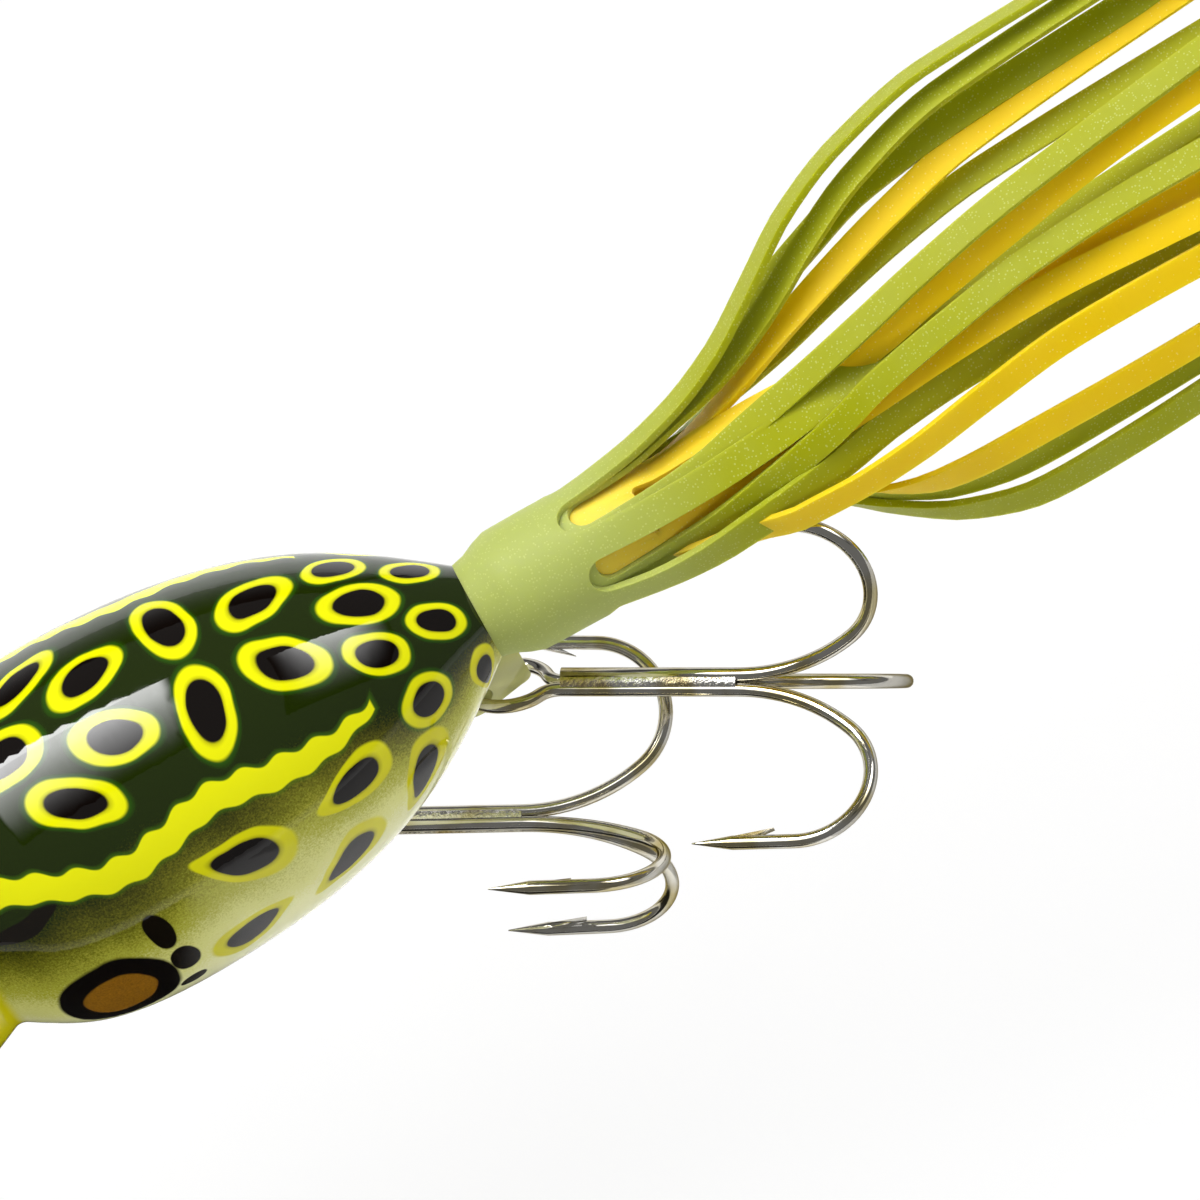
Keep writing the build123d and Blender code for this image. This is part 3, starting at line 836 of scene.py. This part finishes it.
# %% Silicone rubber
def silicone(name, deep, pale, fleck, soft, flecks):
    """Moulded silicone that lets light in, with a soft sheen. It is painted paler near the collar and
    towards its silhouette: painted sheen and painted glow of light through the rubber.
    """
    material, tree, shader = new_material(name)
    source = add(tree, "ShaderNodeTexCoord").outputs["Object"]
    sockets = {"Vector": source, "Scale": 1 / (6.25 * mm), "Detail": 3.0}
    cloud = add(tree, "ShaderNodeTexNoise", sockets)
    parts = add(tree, "ShaderNodeSeparateXYZ", {0: source})
    metres = calculate(tree, "SUBTRACT", tail_x, parts.outputs["X"])
    behind = calculate(tree, "MULTIPLY", metres, 1 / mm)
    # painted sheen and glow: the rubber is painted paler near the collar and fades to the deep colour
    # by 24 mm behind the tail face; the blotch below is its own uneven tone
    thin = fade(tree, behind, 7.0, 24.0, 0.85, 0.0)
    blotch = calculate(tree, "MULTIPLY_ADD", cloud.outputs["Fac"], 0.3, -0.12)
    share = calculate(tree, "ADD", thin, blotch, clamp=True)
    body = over(tree, share, colour(deep), colour(pale))
    # painted sheen: the rubber is painted paler towards its silhouette, where it is seen at a slant
    edge = add(tree, "ShaderNodeLayerWeight", {"Blend": 0.35})
    body = over(tree, calculate(tree, "MULTIPLY", edge.outputs["Facing"], 0.25), body, colour(pale))
    cells = add(tree, "ShaderNodeTexVoronoi", {"Vector": source, "Scale": 1 / (0.24 * mm)})
    near = calculate(tree, "LESS_THAN", cells.outputs["Distance"], 0.3)
    pick = add(tree, "ShaderNodeSeparateColor", {0: cells.outputs["Color"]})
    chosen = calculate(tree, "GREATER_THAN", pick.outputs[0], 1 - flecks)
    spark = calculate(tree, "MULTIPLY", near, chosen)
    body = over(tree, calculate(tree, "MULTIPLY", spark, 0.28), body, colour(fleck))
    tree.links.new(body, shader.inputs["Base Color"])
    sockets = {"Vector": source, "Scale": 1 / (0.25 * mm), "Detail": 2.0}
    skin = add(tree, "ShaderNodeTexNoise", sockets).outputs["Fac"]
    sockets = {"Height": skin, "Strength": 0.12, "Distance": 0.1 * mm}
    bump = add(tree, "ShaderNodeBump", sockets)
    tree.links.new(bump.outputs[0], shader.inputs["Normal"])
    shader.inputs["Roughness"].default_value = 0.52
    shader.inputs["Specular IOR Level"].default_value = 0.3
    shader.inputs["IOR"].default_value = 1.41
    shader.inputs["Subsurface Weight"].default_value = soft
    shader.inputs["Subsurface Radius"].default_value = (1.0, 1.0, 0.25)
    shader.inputs["Subsurface Scale"].default_value = 1.2 * mm
    return material


green_rubber = silicone("green silicone with mica flecks", "#a2a602", "#aeb968", "#dbe290", 0.45, 0.5)
yellow_rubber = silicone("yellow silicone", "#f0c802", "#ffdc58", "#fff0a0", 0.5, 0.2)

# %% The three layers
# Each collar: millimetres behind the tail face and radius in millimetres; the last stop is the slits'.
outer_collar = [(0, 4.0), (3.5, 5.15), (8.7, 5.2)]
middle_collar = [(0, 3.4), (3.5, 4.55), (9.6, 4.6)]
inner_collar = [(0, 2.9), (3.5, 4.05), (14.8, 4.1)]
slit_tube("skirt_outer_strands", outer_strands, outer_collar, 2.55, 0.6, green_rubber)
slit_tube("skirt_middle_strands", middle_strands, middle_collar, 2.2, 0.5, green_rubber)
slit_tube("skirt_inner_strands", inner_strands, inner_collar, 2.3, 0.5, yellow_rubber)

# %% [markdown]
# ## Wire, braze and line tie
# The hooks are bent from high-carbon steel wire and nickel plated, which leaves a bright, slightly
# warm mirror with faint draw lines. Nickel reflects less at the wire's edge than at its middle,
# which the specular tint sets, so each wire has a dark outline on white paper. The braze that joins
# the shanks is rougher and keeps a hint of copper near the eye.


# %% Nickel plate
def plated(name, base, tint, roughness, grain_mm, height_mm):
    """Nickel plate over steel or braze: a metal whose mirror is broken by the surface beneath."""
    material, tree, shader = new_material(name)
    source = add(tree, "ShaderNodeTexCoord").outputs["Object"]
    sockets = {"Vector": source, "Scale": 1 / (grain_mm * mm), "Detail": 3.0}
    grain = add(tree, "ShaderNodeTexNoise", sockets).outputs["Fac"]
    cloud = add(tree, "ShaderNodeTexNoise", {"Vector": source, "Scale": 1 / (4 * mm), "Detail": 2.0})
    share = fade(tree, cloud.outputs["Fac"], 0.42, 0.68)
    tree.links.new(over(tree, share, colour(base), colour(tint)), shader.inputs["Base Color"])
    rough = calculate(tree, "MULTIPLY_ADD", grain, roughness, roughness / 2)
    tree.links.new(rough, shader.inputs["Roughness"])
    sockets = {"Height": grain, "Strength": 0.5, "Distance": height_mm * mm}
    bump = add(tree, "ShaderNodeBump", sockets)
    tree.links.new(bump.outputs[0], shader.inputs["Normal"])
    shader.inputs["Metallic"].default_value = 1.0
    shader.inputs["Specular Tint"].default_value = colour("#93875f")
    return material


hook_nickel = plated("nickel-plated hook wire", "#dedbd2", "#c4b88e", 0.1, 0.6, 0.01)
rough_braze = plated("plated braze", "#f0eee8", "#c9b47c", 0.24, 0.35, 0.25)
for treble in ("rear", "belly"):
    dress(treble + "_braze", rough_braze)
dress("line_tie", hook_nickel)
print("plated finishes:", hook_nickel.name, "and", rough_braze.name)

# %% [markdown]
# ## The hooks, with their barbs towards the shank
# The CAD hooks carry each barb on the outer side of its point. On a real hook it stands on the
# inner side, so each hook is shown by a copy whose points are cut through on the straight wire
# behind the barb, turned half way round their own axis, and left in the same place. The end of a
# point is a tiny disc, so it is found where many vertices crowd together.


# %% Where vertices crowd together
def crowds(data, reach, least):
    """The middle of every place where at least that many vertices lie within reach of each other."""
    places = [v.co for v in data.vertices]
    tree = KDTree(len(places))
    for index, here in enumerate(places):
        tree.insert(here, index)
    tree.balance()
    found = []
    for here in places:
        close = tree.find_range(here, reach)
        if len(close) >= least and all((here - other).length > 1 * mm for other in found):
            found.append(sum((co for co, number, gap in close), Vector()) / len(close))
    return found


# %% Turned points
tip_disc = 0.11 * mm  # the vertices round the end of a point lie this close together
tip_crowd = 45  # and there are at least this many of them
cut_place = 7.2 * mm  # behind the tip: on the straight wire, between the barb and the bend
bend_place = 8.0 * mm  # behind the tip: where the bend's first ring of vertices is
point_reach = 9.5 * mm  # the faces that the cut may cross have their middles this near the tip
barb_reach = 1.5 * mm  # the point and its barb lie this close to the wire's axis


def wire_axis(shape, tip):
    """The direction from a tip to the middle of the ring of vertices where the bend begins."""
    gaps = [(v.co, (v.co - tip).length) for v in shape.verts]
    ring = [co for co, gap in gaps if bend_place < gap < bend_place + 0.1 * mm]
    return (sum(ring, Vector()) / len(ring) - tip).normalized()


def turn_points(node, body):
    """Shows a hook node by a copy in which every point is turned so that its barb faces the shank."""
    data = nodes[node].data.copy()
    tips = crowds(data, tip_disc, tip_crowd)
    shape = bmesh.new()
    shape.from_mesh(data)
    bmesh.ops.remove_doubles(shape, verts=shape.verts, dist=0.001 * mm)
    for tip in tips:
        axis = wire_axis(shape, tip)
        cut = tip + axis * cut_place
        near = [f for f in shape.faces if (f.calc_center_median() - tip).length < point_reach]
        edges = dict.fromkeys(edge for face in near for edge in face.edges)
        corners = dict.fromkeys(corner for face in near for corner in face.verts)
        geom = [*near, *edges, *corners]
        bmesh.ops.bisect_plane(shape, geom=geom, plane_co=cut, plane_no=axis, dist=1e-8)
        ahead = []
        for face in shape.faces:
            middle = face.calc_center_median() - tip
            along = middle.dot(axis)
            if -1 * mm < along < cut_place and (middle - axis * along).length < barb_reach:
                ahead.append(face)
        freed = bmesh.ops.split(shape, geom=ahead)["geom"]
        loose = [part for part in freed if isinstance(part, bmesh.types.BMVert)]
        half_turn = Matrix.Rotation(math.pi, 3, axis)
        bmesh.ops.rotate(shape, verts=loose, cent=cut, matrix=half_turn)
    shape.to_mesh(data)
    shape.free()
    data.shade_smooth()
    data.set_sharp_from_angle(angle=math.radians(35))
    data.materials.clear()
    data.materials.append(hook_nickel)
    hook = bpy.data.objects.new(node + "_wire", data)
    bpy.context.collection.objects.link(hook)
    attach(hook, body)
    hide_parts(node)
    print(hook.name, "points turned:", len(tips), "vertices", len(data.vertices))


for treble in ("rear", "belly"):
    turn_points(treble + "_double_hook", treble + "_treble")
    turn_points(treble + "_single_hook", treble + "_treble")
print("materials:", len(bpy.data.materials))
